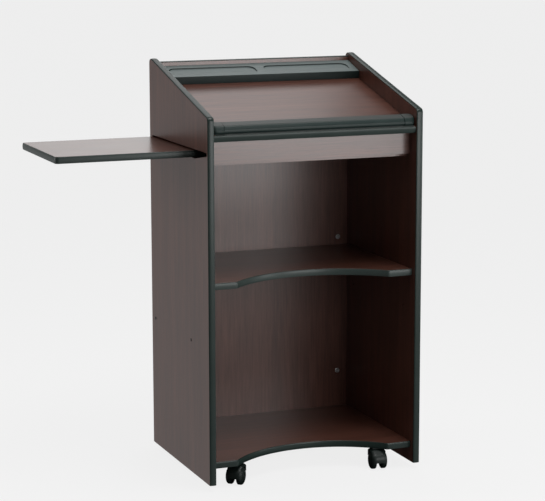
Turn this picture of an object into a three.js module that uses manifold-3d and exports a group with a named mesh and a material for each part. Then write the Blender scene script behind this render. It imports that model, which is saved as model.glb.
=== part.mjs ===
// A mobile presentation lectern: a laminate cabinet on four twin-wheel casters, with a sloped
// reading surface, a pencil tray, two open bays and a side shelf that slides out to the left.
//
// Millimetres, +Z up. The presenter stands on the -Y side, where the cabinet is open, and +X is
// the presenter's right. The floor is z = 0, and the origin lies in the middle of the floor
// area that the cabinet and the pulled-out side shelf cover together.

import * as THREE from 'three'
import { mergeVertices } from 'three/addons/utils/BufferGeometryUtils.js'
import Module from 'manifold-3d'

const wasm = await Module()
wasm.setup()

// ---- Driving dimensions -------------------------------------------------------------------

const width = 641 // over the outer faces of the side panels
const depth = 502 // over the edging, front to back
const height = 1168 // floor to the top of the side panels
const frontHeight = 1042 // floor to the front end of the side panels' slope
const topFlat = 22 // level length at the back of the side panels' top
const topBendRadius = 6 // where that level length meets the slope
const footGap = 19 // floor to the bottom of the side and back panels

const board = 19 // thickness of every laminate board
const gap = 0.3 // clearance between neighbouring pieces
const crown = 3 // how far the rounded edging stands out from a board's edge
const tongueDepth = 7 // of the edging's tongue, which sits in a groove in the board
const tongueThickness = 1.6
const cornerRadius = 14 // of the side panels' top corners
const overcut = 1 // how far a cutting solid runs past the face that it cuts

const readingFall = 51 // reading surface below the side panels' slope, measured upright
const readingSetback = 4 // reading surface's front edge behind the side panels' fronts
const backTop = 1158.5 // top of the back panel
const trayDepth = 81
const trayFrontHeight = 23.5
const trayBackHeight = 28
const trayWall = 2.5
const troughDepth = 3.5
const troughLip = 0.8 // depth of a trough at its front edge
const troughWidth = 54
const troughBackRim = 22.5
const troughEndRim = 21.5
const troughRadius = 20
const troughGap = 28 // between the two troughs
const railFront = 7 // book stop's nose behind the reading surface's front edge
const railDepth = 40
const railHeight = 22.5
const railTopFront = 17 // where the book stop's top meets its leaning face
const railNoseTop = 12.6 // where that face meets the nose
const railWall = 2
const capWidth = 34
const capCorner = 11
const capPlug = 12 // how far a cap's plug reaches into the rail

const apronSetback = 46 // apron's face behind the side panels' fronts
const apronBottom = 912
const bayFloorTop = 922.5 // floor board of the side shelf's bay

const sideShelfTop = 942
const sideShelfFront = -134
const sideShelfBack = 226
const sideShelfLength = 590
const sideShelfReach = 391.5 // beyond the left side panel when pulled out
const sideShelfCorner = 12
const slotTop = 946.5
const slotBottom = 921
const slotFront = -243
const slotRise = 16 // how far the slot's lower edge climbs towards its front end
const slotCorner = 3
const slotBendRadius = 10 // where the climb starts
const guideWidth = 18
const guideReach = 16 // of the front guide over the shelf
const guideLip = 12 // thickness of that reach
const stopLength = 20
const stopFront = 10
const stopBack = 80

const middleShelfTop = 585
const middleShelfPlay = 1 // at each end, so that it can be lifted out
const deckTop = 79
const shelfFront = -230
const hollowHalfWidth = 229 // half the chord of the curved hollow in the shelves' fronts
const hollowDepth = 100
const shelfCorner = 12

const pinRadius = 2.5
const pinPeg = 10 // length of a pin that stands out of its hole
const pinHoleSpacing = 96
const pinHoleDepth = 10
const pinRows = [-168, 182] // front and rear columns of shelf pin holes

const camRadius = 7.5
const camDepth = 12
const camInset = 50 // cam lock centre to the outer face of the side panel
const camHeights = { lower: 189, upper: 608 }

const casterHeight = deckTop - board // floor to the underside of the deck
const wheelRadius = 25
const wheelInner = 8.3 // inner face of a wheel from the caster's middle plane
const wheelOuter = 26
const casterTrail = 18 // axle behind the swivel axis
const axleRadius = 3
const axleLength = 47
const kingpinRadius = 4
const plateWidth = 34
const plateThickness = 2.5
const screwSpacing = 24
const webThickness = 13 // of the hood between its wheels
const hubRadius = 11 // of the web round the axle
const canopyGap = 1.2 // between the wheels and the hood
const canopyThickness = 2.4
const canopyHalf = 22
const canopyCorner = 15 // of the hood's plan
const canopyStart = THREE.MathUtils.degToRad(-6) // round the axle, from the trailing side
const canopyShoulder = THREE.MathUtils.degToRad(55)
const hoodFront = -9.5 // hood's front face, before the swivel axis

const tilt = Math.atan((height - frontHeight) / (depth - topFlat))
const innerHalf = width / 2 - board
const front = -depth / 2
const back = depth / 2
const backPanelFront = back - crown - board

// ---- Materials ----------------------------------------------------------------------------

function finish(color, roughness, metalness = 0) {
  return new THREE.MeshStandardMaterial({ color, roughness, metalness, flatShading: true })
}

const laminate = finish('#4a3430', 0.45)
const edgingPlastic = finish('#3c4643', 0.4)
const trayPlastic = finish('#6f7c78', 0.45)
const railPlastic = finish('#39433f', 0.4)
const stainedWood = finish('#2b2320', 0.6)
const zinc = finish('#b9bcbd', 0.35, 0.9)
const steel = finish('#9a9ea0', 0.35, 0.9)
const blackNylon = finish('#141716', 0.4)

// ---- Solids -------------------------------------------------------------------------------

const X = new THREE.Vector3(1, 0, 0)
const Y = new THREE.Vector3(0, 1, 0)
const Z = new THREE.Vector3(0, 0, 1)

// Turns a shape drawn in (y, z) and extruded along its own z into place along the row's X.
const acrossCabinet = new THREE.Matrix4().makeBasis(Y, Z, X)

// Turns a shape drawn in (x, z) and extruded along its own z into place along -Y.
const alongAxle = new THREE.Matrix4().makeBasis(X, Z, Y.clone().negate())

function solidOf(geometry) {
  geometry.deleteAttribute('normal')
  geometry.deleteAttribute('uv')
  const merged = mergeVertices(geometry, 1e-4)
  return new wasm.Manifold(new wasm.Mesh({
    numProp: 3,
    vertProperties: new Float32Array(merged.attributes.position.array),
    triVerts: new Uint32Array(merged.index.array),
  }))
}

function meshOf(name, solid, material) {
  const { vertProperties, triVerts } = solid.getMesh()
  const geometry = new THREE.BufferGeometry()
  geometry.setAttribute('position', new THREE.BufferAttribute(vertProperties, 3))
  geometry.setIndex(new THREE.BufferAttribute(triVerts, 1))
  geometry.computeVertexNormals()
  const mesh = new THREE.Mesh(geometry, material)
  mesh.name = name
  return mesh
}

// A straight extrusion of an outline, from z = low to z = high.
function prism(points, low, high) {
  const geometry = new THREE.ExtrudeGeometry(new THREE.Shape(points), {
    depth: high - low,
    bevelEnabled: false,
  })
  geometry.translate(0, 0, low)
  return solidOf(geometry)
}

// The same, drawn in (y, z) and standing between two places across the cabinet.
function crossPrism(points, low, high) {
  const geometry = new THREE.ExtrudeGeometry(new THREE.Shape(points), {
    depth: high - low,
    bevelEnabled: false,
  })
  geometry.translate(0, 0, low)
  geometry.applyMatrix4(acrossCabinet)
  return solidOf(geometry)
}

// The same, drawn in (x, z) and centred on the caster's middle plane, y = 0.
function axlePrism(points, thickness) {
  const geometry = new THREE.ExtrudeGeometry(new THREE.Shape(points), {
    depth: thickness,
    bevelEnabled: false,
  })
  geometry.translate(0, 0, -thickness / 2)
  geometry.applyMatrix4(alongAxle)
  return solidOf(geometry)
}

function block(low, high) {
  const size = high.map((value, i) => value - low[i])
  const geometry = new THREE.BoxGeometry(...size)
  geometry.translate(...low.map((value, i) => value + size[i] / 2))
  return solidOf(geometry)
}

// A cylinder from start to start + length along X, Y or Z.
function rod(axis, start, length, radius, sides = 20) {
  const geometry = new THREE.CylinderGeometry(radius, radius, length, sides)
  geometry.translate(0, length / 2, 0)
  geometry.applyQuaternion(new THREE.Quaternion().setFromUnitVectors(Y, axis))
  geometry.translate(...start)
  return solidOf(geometry)
}

// ---- Outlines -----------------------------------------------------------------------------

function corner(x, y, radius = 0, banded = false) {
  return { x, y, radius, banded }
}

// Points round an outline, given counter-clockwise by its corners. A corner's radius rounds
// it, and its banded flag says that the edge from it to the next corner carries edging.
// Edges move outwards by bandedOffset or plainOffset.
function outline(corners, bandedOffset = 0, plainOffset = 0, steps = 4) {
  const count = corners.length
  const edges = corners.map((from, i) => {
    const to = corners[(i + 1) % count]
    const direction = new THREE.Vector2(to.x - from.x, to.y - from.y).normalize()
    const offset = from.banded ? bandedOffset : plainOffset
    const start = new THREE.Vector2(from.x + direction.y * offset, from.y - direction.x * offset)
    return { start, direction, offset }
  })
  const points = []
  corners.forEach((here, i) => {
    const before = edges[(i + count - 1) % count]
    const after = edges[i]
    const turn = before.direction.cross(after.direction)
    const along = after.start.clone().sub(before.start).cross(after.direction) / turn
    const tip = before.start.clone().addScaledVector(before.direction, along)
    const radius = here.radius ? here.radius + Math.sign(turn) * after.offset : 0
    if (radius <= 0) {
      points.push(tip)
      return
    }
    const angle = Math.asin(turn)
    const reach = radius * Math.tan(Math.abs(angle) / 2)
    const entry = tip.clone().addScaledVector(before.direction, -reach)
    const side = Math.sign(turn)
    const centre = new THREE.Vector2(-before.direction.y, before.direction.x)
      .multiplyScalar(side * radius).add(entry)
    for (let step = 0; step <= steps; step += 1) {
      points.push(entry.clone().rotateAround(centre, angle * step / steps))
    }
  })
  return points
}

// A rectangle with rounded corners, counter-clockwise.
function roundedBox(left, low, right, high, radius, steps = 4) {
  const tips = [[left, low], [right, low], [right, high], [left, high]]
  return outline(tips.map(([x, y]) => corner(x, y, radius)), 0, 0, steps)
}

function circlePoints(cx, cy, radius, from = 0, to = 2 * Math.PI, steps = 24) {
  const closed = Math.abs(to - from - 2 * Math.PI) < 1e-9
  return Array.from({ length: closed ? steps : steps + 1 }, (_, i) => {
    const angle = from + (to - from) * i / steps
    return new THREE.Vector2(cx + radius * Math.cos(angle), cy + radius * Math.sin(angle))
  })
}

// ---- Edged boards -------------------------------------------------------------------------

// A board with a groove in its banded edges. It lies from z = 0 to z = board.
function edgedBoard(corners) {
  const middle = board / 2
  const grooveHalf = tongueThickness / 2 + gap
  const clear = 5
  const grooveLow = middle - grooveHalf
  const grooveHigh = middle + grooveHalf
  const grooveFloor = -crown - tongueDepth - gap
  const core = prism(outline(corners, -crown), 0, board)
  const grooveOuter = prism(outline(corners, clear, clear), grooveLow, grooveHigh)
  const grooveInner = prism(outline(corners, grooveFloor, 2 * clear), 0, board)
  return core.subtract(grooveOuter.subtract(grooveInner))
}

// The edging of that board: a crowned strip with a tongue. Its ends are cut square.
function edgingOf(corners) {
  const middle = board / 2
  const clear = 10
  const bevel = 7
  const brim = 0.6 // the strip's thickness at the board's faces
  const tongueOverlap = 0.5
  const geometry = new THREE.ExtrudeGeometry(new THREE.Shape(outline(corners, 0, clear)), {
    depth: board - 2 * bevel,
    bevelThickness: bevel,
    bevelSize: crown - brim,
    bevelOffset: brim - crown,
    bevelSegments: 2,
  })
  geometry.translate(0, 0, bevel)
  const slab = solidOf(geometry)
  const seat = prism(outline(corners, gap - crown, 2 * clear), -overcut, board + overcut)
  const strip = slab.subtract(seat)
  const tongueLow = middle - tongueThickness / 2
  const tongueHigh = middle + tongueThickness / 2
  const tongueEdge = outline(corners, gap - crown + tongueOverlap, clear)
  const tongueSpread = prism(tongueEdge, tongueLow, tongueHigh)
  const tongueRoot = prism(outline(corners, -crown - tongueDepth, 2 * clear), 0, board)
  const trim = prism(outline(corners, clear, 0), -overcut, board + overcut)
  return strip.add(tongueSpread.subtract(tongueRoot)).intersect(trim)
}

// Corners of a shelf whose front is curved inwards between two straight ends.
function hollowFrontCorners(halfWidth, shelfBack) {
  const radius = (hollowHalfWidth ** 2 + hollowDepth ** 2) / (2 * hollowDepth)
  const centreY = shelfFront + hollowDepth - radius
  const half = Math.asin(hollowHalfWidth / radius)
  const steps = 12
  const arc = []
  for (let step = 1; step < steps; step += 1) {
    const angle = -half + 2 * half * step / steps
    arc.push(corner(radius * Math.sin(angle), centreY + radius * Math.cos(angle), 0, true))
  }
  return [
    corner(-halfWidth, shelfFront, 0, true),
    corner(-hollowHalfWidth, shelfFront, shelfCorner, true),
    ...arc,
    corner(hollowHalfWidth, shelfFront, shelfCorner, true),
    corner(halfWidth, shelfFront),
    corner(halfWidth, shelfBack),
    corner(-halfWidth, shelfBack),
  ]
}

// ---- Side panels --------------------------------------------------------------------------

// Drawn in (y, z): foot, back, level top, slope and front. Only the foot has no edging.
const sidePanelCorners = [
  corner(front, footGap),
  corner(back, footGap, 0, true),
  corner(back, height, cornerRadius, true),
  corner(back - topFlat, height, topBendRadius, true),
  corner(front, frontHeight, cornerRadius, true),
]

// The shelf pins' holes go into the inner face, which is at z = innerFace in the board's frame.
function pinHoles(innerFace) {
  const low = innerFace === 0 ? -overcut : innerFace - pinHoleDepth
  const middleHole = middleShelfTop - board - pinRadius - gap
  const holes = []
  for (const y of pinRows) {
    for (const step of [-1, 0, 1]) {
      const start = [y, middleHole + step * pinHoleSpacing, low]
      holes.push(rod(Z, start, pinHoleDepth + overcut, pinRadius + gap, 12))
    }
  }
  return wasm.Manifold.union(holes)
}

// The opening that the side shelf slides through. Its lower edge climbs at the front.
function sideSlot() {
  const climbStart = sideShelfFront - 12
  const slotBack = backPanelFront - 1
  return prism(outline([
    corner(climbStart, slotBottom, slotBendRadius),
    corner(slotBack, slotBottom, slotCorner),
    corner(slotBack, slotTop, slotCorner),
    corner(slotFront, slotTop, slotCorner),
    corner(slotFront, slotBottom + slotRise, slotCorner),
  ]), -overcut, board + overcut)
}

function sidePanels(parent) {
  const left = new THREE.Group()
  const right = new THREE.Group()
  left.quaternion.setFromRotationMatrix(acrossCabinet)
  right.quaternion.setFromRotationMatrix(acrossCabinet)
  left.position.x = -width / 2
  right.position.x = innerHalf
  const leftBoard = edgedBoard(sidePanelCorners).subtract(pinHoles(board)).subtract(sideSlot())
  const rightBoard = edgedBoard(sidePanelCorners).subtract(pinHoles(0))
  left.add(meshOf('left_side_panel', leftBoard, laminate))
  left.add(meshOf('left_side_edging', edgingOf(sidePanelCorners), edgingPlastic))
  right.add(meshOf('right_side_panel', rightBoard, laminate))
  right.add(meshOf('right_side_edging', edgingOf(sidePanelCorners), edgingPlastic))
  parent.add(left, right)
}

// ---- Back panel and its cam locks ---------------------------------------------------------

const camSpots = []
for (const [side, sign] of [['left', -1], ['right', 1]]) {
  for (const [level, z] of Object.entries(camHeights)) {
    camSpots.push({ name: `cam_lock_${side}_${level}`, x: sign * (width / 2 - camInset), z })
  }
}

// Drawn in (x, z) and laid back to stand upright, so its own z runs along -Y.
function backPanel(parent) {
  const half = innerHalf - gap
  const corners = [
    corner(-half, footGap),
    corner(half, footGap),
    corner(half, backTop, 0, true),
    corner(-half, backTop),
  ]
  const proud = 0.6 // how far a cam lock stands out of the board
  const pockets = camSpots.map(({ x, z }) => (
    rod(Z, [x, z, board - camDepth - gap], camDepth + gap + overcut, camRadius + gap, 20)
  ))
  const panel = edgedBoard(corners).subtract(wasm.Manifold.union(pockets))
  const upright = new THREE.Group()
  upright.quaternion.setFromRotationMatrix(alongAxle)
  upright.position.y = back - crown
  upright.add(meshOf('back_panel', panel, laminate))
  upright.add(meshOf('back_panel_edging', edgingOf(corners), edgingPlastic))
  for (const { name, x, z } of camSpots) {
    upright.add(camLock(name, x, z, board - camDepth, camDepth + proud))
  }
  parent.add(upright)
}

// A cam lock's drum, with the cross slot that turns it.
function camLock(name, x, z, low, length) {
  const chamfer = 0.8
  const profile = [
    [0, 0], [camRadius, 0], [camRadius, length - chamfer], [camRadius - chamfer, length],
    [0, length],
  ].map(([r, h]) => new THREE.Vector2(r, h))
  const lathe = new THREE.LatheGeometry(profile, 20)
  lathe.rotateX(Math.PI / 2)
  const slotHalf = 0.8
  const slotReach = 4.2
  const slotFloor = length - 2.5
  const above = length + overcut
  const crossX = block([-slotReach, -slotHalf, slotFloor], [slotReach, slotHalf, above])
  const crossY = block([-slotHalf, -slotReach, slotFloor], [slotHalf, slotReach, above])
  const mesh = meshOf(name, solidOf(lathe).subtract(crossX).subtract(crossY), zinc)
  mesh.position.set(x, z, low)
  return mesh
}

// ---- Reading surface, book stop and pencil tray -------------------------------------------

// Work in a tilted frame: x across, y up the slope from the front edge, z off the surface.
const slope = Math.tan(tilt)
const surfaceFrontY = front + readingSetback
const surfaceFrontZ = frontHeight - readingFall + readingSetback * slope

function slopeDistance(y, rise = 0) {
  return (y - surfaceFrontY + rise * Math.sin(tilt)) / Math.cos(tilt)
}

function readingSurface(parent) {
  const half = innerHalf - gap
  const rear = slopeDistance(backPanelFront - gap, -board)
  const corners = [
    corner(-half, 0, 0, true),
    corner(half, 0),
    corner(half, rear),
    corner(-half, rear),
  ]
  const surface = meshOf('reading_surface', edgedBoard(corners), laminate)
  const edging = meshOf('reading_surface_edging', edgingOf(corners), edgingPlastic)
  surface.position.z = -board
  edging.position.z = -board
  parent.add(surface, edging)
}

// Section of the book stop in (up the slope, off the surface): a flat top, a leaning face, and
// a rounded nose that overhangs the foot.
function railSection(inset = 0) {
  const rear = railFront + railDepth
  return outline([
    corner(railFront + 5, gap),
    corner(rear, gap),
    corner(rear, railHeight, 3),
    corner(railTopFront, railHeight - 0.7, 9),
    corner(railFront + 1.6, railNoseTop, 2.5),
    corner(railFront, 6.5, 3),
  ], -inset, -inset, 4)
}

function bookStop(parent) {
  const railHalf = innerHalf - capWidth
  const hollow = crossPrism(railSection(railWall), -railHalf - overcut, railHalf + overcut)
  const rail = crossPrism(railSection(), -railHalf, railHalf).subtract(hollow)
  parent.add(meshOf('book_stop_rail', rail, railPlastic))
  const inner = railHalf + gap
  const outer = innerHalf - 1.5
  const planFront = railFront - 2
  const planBack = railFront + railDepth + 0.6
  const plan = roundedBox(inner - capWidth, planFront, outer, planBack, capCorner, 5)
  const rounding = prism(plan, -overcut, railHeight + overcut)
  const shell = crossPrism(railSection(), inner, outer).intersect(rounding)
  const plug = crossPrism(railSection(railWall + gap), inner - capPlug, inner + overcut)
  const cap = shell.add(plug)
  for (const [side, sign] of [['left', -1], ['right', 1]]) {
    const turned = sign > 0 ? cap : cap.mirror([1, 0, 0])
    parent.add(meshOf(`book_stop_cap_${side}`, turned, railPlastic))
  }
}

// A moulded shell that rests on the reading surface, with two long troughs. Its front wall is
// square to the surface, its back wall is upright against the back panel, and its top is a
// little steeper than the surface. A trough is deepest at its back, and its floor climbs
// towards the presenter.
function pencilTray(parent) {
  const half = innerHalf - gap
  const rear = slopeDistance(backPanelFront - gap)
  const start = rear - trayDepth
  const rearEdge = rear + (trayBackHeight - gap) * slope
  const topRise = (trayBackHeight - trayFrontHeight) / (rearEdge - start)
  const topAt = (along) => trayFrontHeight + (along - start) * topRise
  const shellSection = outline([
    corner(start, gap),
    corner(rear, gap),
    corner(rearEdge, trayBackHeight, 1),
    corner(start, trayFrontHeight, 3),
  ], 0, 0, 4)
  const hollowSection = outline([
    corner(start + trayWall, gap - overcut),
    corner(rear - trayWall, gap - overcut),
    corner(rearEdge - trayWall, trayBackHeight - trayWall),
    corner(start + trayWall, trayFrontHeight - trayWall),
  ])
  const troughRear = rearEdge - troughBackRim
  const troughFront = troughRear - troughWidth
  const above = trayBackHeight + 2 * overcut
  const trough = (left, right, spread) => {
    const low = troughFront - spread
    const middle = (troughFront + troughRear) / 2
    const high = troughRear + spread
    const room = crossPrism([
      [low - overcut, topAt(low) - troughLip - spread],
      [middle, topAt(middle) - troughDepth - spread],
      [high + overcut, topAt(high) - troughDepth - spread],
      [high + overcut, above],
      [low - overcut, above],
    ].map(([along, rise]) => new THREE.Vector2(along, rise)), left - spread, right + spread)
    const plan = roundedBox(left - spread, low, right + spread, high, troughRadius + spread, 6)
    return prism(plan, 0, above).intersect(room)
  }
  const spans = [[troughEndRim - half, -troughGap / 2], [troughGap / 2, half - troughEndRim]]
  const troughs = spans.map(([left, right]) => trough(left, right, 0))
  const pans = spans.map(([left, right]) => trough(left, right, trayWall))
  const hollow = crossPrism(hollowSection, -half + trayWall, half - trayWall)
    .subtract(wasm.Manifold.union(pans))
  const tray = crossPrism(shellSection, -half, half)
    .subtract(hollow)
    .subtract(wasm.Manifold.union(troughs))
  parent.add(meshOf('pencil_tray', tray, trayPlastic))
}

// ---- Bay of the side shelf ----------------------------------------------------------------

function apron(parent) {
  const half = innerHalf - gap
  const face = front + apronSetback
  const undersideAt = (y) => (
    surfaceFrontZ + (y - surfaceFrontY) * slope - (board + gap) / Math.cos(tilt)
  )
  const section = [
    new THREE.Vector2(face, apronBottom),
    new THREE.Vector2(face + board, apronBottom),
    new THREE.Vector2(face + board, undersideAt(face + board)),
    new THREE.Vector2(face, undersideAt(face)),
  ]
  parent.add(meshOf('apron', crossPrism(section, -half, half), laminate))
}

function bayFloor(parent) {
  const half = innerHalf - gap
  const start = front + apronSetback + board + gap
  const low = [-half, start, bayFloorTop - board]
  const high = [half, backPanelFront - gap, bayFloorTop]
  parent.add(meshOf('shelf_bay_floor', block(low, high), laminate))
}

// Guides that stop the pulled-out shelf from tipping: one stands in front of it and reaches
// over it, and one is fixed to the back panel above it.
function shelfGuides(parent) {
  const half = 280
  const foot = bayFloorTop + gap
  const over = sideShelfTop + 1
  const inner = sideShelfFront - 2 * gap
  const outer = inner - guideWidth
  const tip = inner + guideReach
  const top = over + guideLip
  const section = [
    [outer, foot], [inner, foot], [inner, over], [tip, over], [tip, top], [outer, top],
  ].map(([y, z]) => new THREE.Vector2(y, z))
  parent.add(meshOf('shelf_guide_front', crossPrism(section, -half, half), stainedWood))
  const rearLow = [-half, backPanelFront - gap - guideWidth, over]
  const rearHigh = [half, backPanelFront - gap, over + guideWidth]
  parent.add(meshOf('shelf_guide_rear', block(rearLow, rearHigh), stainedWood))
}

const sideShelfLeft = -width / 2 - sideShelfReach
const sideShelfTravel = sideShelfReach - 7.5 // its end stays just outside the side panel

function sideShelf(parent) {
  const corners = [
    corner(sideShelfLeft, sideShelfFront, sideShelfCorner, true),
    corner(sideShelfLeft + sideShelfLength, sideShelfFront),
    corner(sideShelfLeft + sideShelfLength, sideShelfBack, 0, true),
    corner(sideShelfLeft, sideShelfBack, sideShelfCorner, true),
  ]
  const shelf = meshOf('side_shelf', edgedBoard(corners), laminate)
  const edging = meshOf('side_shelf_edging', edgingOf(corners), edgingPlastic)
  shelf.position.z = sideShelfTop - board
  edging.position.z = sideShelfTop - board
  parent.add(shelf, edging)
}

// One stop rides on the shelf and meets the side panel above the slot when the shelf is out.
// The other is fixed to the bay's floor and meets the shelf's end when it is in.
function shelfStops(parent) {
  const height = 26
  const outStopLeft = -innerHalf + 0.5
  const inStopLeft = sideShelfLeft + sideShelfLength + sideShelfTravel + 0.5
  const stops = [
    ['shelf_stop_out', outStopLeft, sideShelfTop + gap],
    ['shelf_stop_in', inStopLeft, bayFloorTop + gap],
  ]
  for (const [name, left, foot] of stops) {
    const low = [left, stopFront, foot]
    const high = [left + stopLength, stopBack, foot + height]
    parent.add(meshOf(name, block(low, high), stainedWood))
  }
}

// ---- Middle shelf, its pins, and the deck -------------------------------------------------

function shelves(parent) {
  const shelfBack = backPanelFront - gap
  const levels = [
    ['middle_shelf', middleShelfTop, innerHalf - middleShelfPlay],
    ['bottom_deck', deckTop, innerHalf - gap],
  ]
  for (const [name, top, half] of levels) {
    const corners = hollowFrontCorners(half, shelfBack)
    const shelf = meshOf(name, edgedBoard(corners), laminate)
    const edging = meshOf(`${name}_edging`, edgingOf(corners), edgingPlastic)
    shelf.position.z = top - board
    edging.position.z = top - board
    parent.add(shelf, edging)
  }
}

function shelfPins(parent) {
  const inHole = pinHoleDepth - gap
  const length = inHole + pinPeg
  const chamfer = 0.6
  const profile = [
    [0, 0], [pinRadius - chamfer, 0], [pinRadius, chamfer],
    [pinRadius, length - chamfer], [pinRadius - chamfer, length], [0, length],
  ].map(([r, h]) => new THREE.Vector2(r, h))
  const z = middleShelfTop - board - pinRadius - gap
  for (const [side, sign] of [['left', -1], ['right', 1]]) {
    pinRows.forEach((y, row) => {
      const lathe = new THREE.LatheGeometry(profile, 12)
      lathe.rotateZ(sign * Math.PI / 2)
      const name = `shelf_pin_${side}_${row === 0 ? 'front' : 'rear'}`
      const pin = meshOf(name, solidOf(lathe), steel)
      pin.position.set(sign * (innerHalf + inHole), y, z)
      parent.add(pin)
    })
  }
}

// ---- Casters ------------------------------------------------------------------------------

// Each caster is drawn in its own frame: the swivel axis is z, and the wheels trail towards +x.
// heading is the direction of that +x in the cabinet, in degrees from the cabinet's +X.
const casters = [
  { name: 'caster_front_left', x: -213, y: -184, heading: 229, brake: false },
  { name: 'caster_front_right', x: 213, y: -184, heading: 263, brake: false },
  { name: 'caster_rear_left', x: -213, y: 165, heading: 252, brake: true },
  { name: 'caster_rear_right', x: 213, y: 165, heading: 284, brake: true },
]

const plateTop = casterHeight - gap
const plateBottom = plateTop - plateThickness
const canopyInner = wheelRadius + canopyGap
const canopyOuter = canopyInner + canopyThickness
const canopyRoot = 11 // front end of the hood's side, above the axle
const axleCentre = [casterTrail, wheelRadius]
const brakeHubRadius = 19.5 // of the web where the brake pedal needs room over it
const brakePivot = { x: casterTrail + 18.6, z: wheelRadius + 18.6 }
const brakePinRadius = 1.5

function casterPlate(name) {
  const half = plateWidth / 2
  const screw = screwSpacing / 2
  const plate = prism(roundedBox(-half, -half, half, half, 5, 3), plateBottom, plateTop)
  const kingpinFoot = wheelRadius + 5
  const kingpinLength = plateBottom - kingpinFoot + overcut
  const kingpin = rod(Z, [0, 0, kingpinFoot], kingpinLength, kingpinRadius, 16)
  const holes = [-1, 1].flatMap((sx) => [-1, 1].map((sy) => (
    rod(Z, [sx * screw, sy * screw, plateBottom - overcut], plateThickness + 2 * overcut, 2.2, 10)
  )))
  const solid = plate.add(kingpin).subtract(wasm.Manifold.union(holes))
  return meshOf(`${name}_plate`, solid, steel)
}

// A thick arc round the axle, between two radii.
function axleArc(outer, inner, from, to, thickness, steps) {
  return axlePrism([
    ...circlePoints(...axleCentre, outer, from, to, steps),
    ...circlePoints(...axleCentre, inner, from, to, steps).reverse(),
  ], thickness)
}

// The hood's outer shape: round over the trailing side of the wheels, then straight up to a
// flat top round the kingpin, and upright at the front.
function hoodShell(hoodTop) {
  const trailing = circlePoints(...axleCentre, canopyOuter, canopyStart, canopyShoulder, 7)
  const last = trailing.at(-1)
  const topEnd = last.x - (hoodTop - last.y) * Math.tan(canopyShoulder)
  const chamfer = 4
  const side = axlePrism([
    new THREE.Vector2(...axleCentre),
    ...trailing,
    new THREE.Vector2(topEnd, hoodTop),
    new THREE.Vector2(hoodFront + chamfer, hoodTop),
    new THREE.Vector2(hoodFront, hoodTop - chamfer),
    new THREE.Vector2(hoodFront, wheelRadius + canopyRoot),
  ], 2 * canopyHalf)
  const end = casterTrail + canopyOuter + overcut
  const plan = roundedBox(hoodFront, -canopyHalf, end, canopyHalf, canopyCorner, 4)
  return side.intersect(prism(plan, 0, hoodTop + overcut))
}

// Hood over the wheels, with the web between them and its boss round the kingpin.
function casterHood(name, brake) {
  const webRadius = brake ? brakeHubRadius : canopyInner + overcut
  const webEnd = THREE.MathUtils.degToRad(190)
  const webOutline = circlePoints(...axleCentre, webRadius, canopyStart, webEnd, 12)
  const web = axlePrism(webOutline, webThickness)
  const bossFoot = 24
  const bossTop = plateBottom - 2 * gap
  const across = [casterTrail, -30, wheelRadius]
  const wheelRoom = rod(Y, across, 60, canopyInner, 26)
  const hub = rod(Y, [casterTrail, -webThickness / 2, wheelRadius], webThickness, hubRadius, 20)
  const bossLeft = -8.5
  const neck = axlePrism([
    [bossLeft, bossFoot + 5],
    [-5, bossFoot],
    [casterTrail, bossFoot - 10],
    [casterTrail, wheelRadius + canopyInner + overcut],
    [6, bossTop - overcut],
    [bossLeft, bossTop - overcut],
  ].map(([x, z]) => new THREE.Vector2(x, z)), webThickness)
  const shell = hoodShell(bossTop).subtract(wheelRoom)
  const body = wasm.Manifold.union([shell, web, neck, hub])
  const kingpinBore = rod(Z, [0, 0, wheelRadius + 4], 40, kingpinRadius + gap, 16)
  const axleBore = rod(Y, across, 60, axleRadius + gap, 16)
  let hood = body.subtract(kingpinBore).subtract(axleBore)
  if (brake) {
    const pinBore = rod(Y, [brakePivot.x, -5, brakePivot.z], 10, brakePinRadius + gap, 12)
    hood = hood.subtract(brakeNotch()).add(brakeEar()).subtract(pinBore)
  }
  return meshOf(`${name}_hood`, hood, blackNylon)
}

// Room in the canopy for the brake pedal, and the ear that carries it.
function brakeNotch() {
  const [from, to] = [18, 66].map(THREE.MathUtils.degToRad)
  return axleArc(canopyOuter + 4, brakeHubRadius, from, to, 17, 6)
}

function brakeEar() {
  const [from, to] = [37, 53].map(THREE.MathUtils.degToRad)
  return axleArc(canopyInner + 3.2, brakeHubRadius - 1.5, from, to, 5, 4)
}

// A forked pedal whose pin passes through the hood's ear.
function brakePedal(name) {
  const { x, z } = brakePivot
  const hub = 3.5
  const top = z + 4
  const tip = x + 22
  const side = outline([
    corner(x - hub, z - hub, 3),
    corner(x + hub, z - hub, 3),
    corner(tip, z + 1, 1),
    corner(tip, top, 1),
    corner(x - hub, top, 3),
  ], 0, 0, 3)
  const fork = axlePrism(side, 15)
  const room = block([x - 6, -2.9, z - 8], [x + 6.5, 2.9, z + 8])
  const pad = block([x + 9, -13, z + 0.6], [tip, 13, top])
  const pin = rod(Y, [x, -6, z], 12, brakePinRadius, 10)
  return meshOf(`${name}_brake`, fork.subtract(room).add(pad).add(pin), blackNylon)
}

function casterAxle(name) {
  const axle = rod(Y, [casterTrail, -axleLength / 2, wheelRadius], axleLength, axleRadius, 14)
  return meshOf(`${name}_axle`, axle, steel)
}

// A wheel with a domed outer face and a blind bore, open towards the caster's middle.
function casterWheel(name, sign) {
  const bore = axleRadius + gap
  const boreEnd = axleLength / 2 + 2 * gap
  const profile = [
    [0, boreEnd], [bore, boreEnd], [bore, wheelInner], [21.5, wheelInner],
    [wheelRadius, 11], [wheelRadius, 18.5], [22.5, 22.4], [12, 25.4], [0, wheelOuter],
  ].map(([r, h]) => new THREE.Vector2(r, h))
  const lathe = new THREE.LatheGeometry(profile, 22)
  const solid = solidOf(lathe.rotateX(sign > 0 ? 0 : Math.PI))
  const wheel = meshOf(name, solid, blackNylon)
  wheel.position.set(casterTrail, 0, wheelRadius)
  return wheel
}

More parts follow.
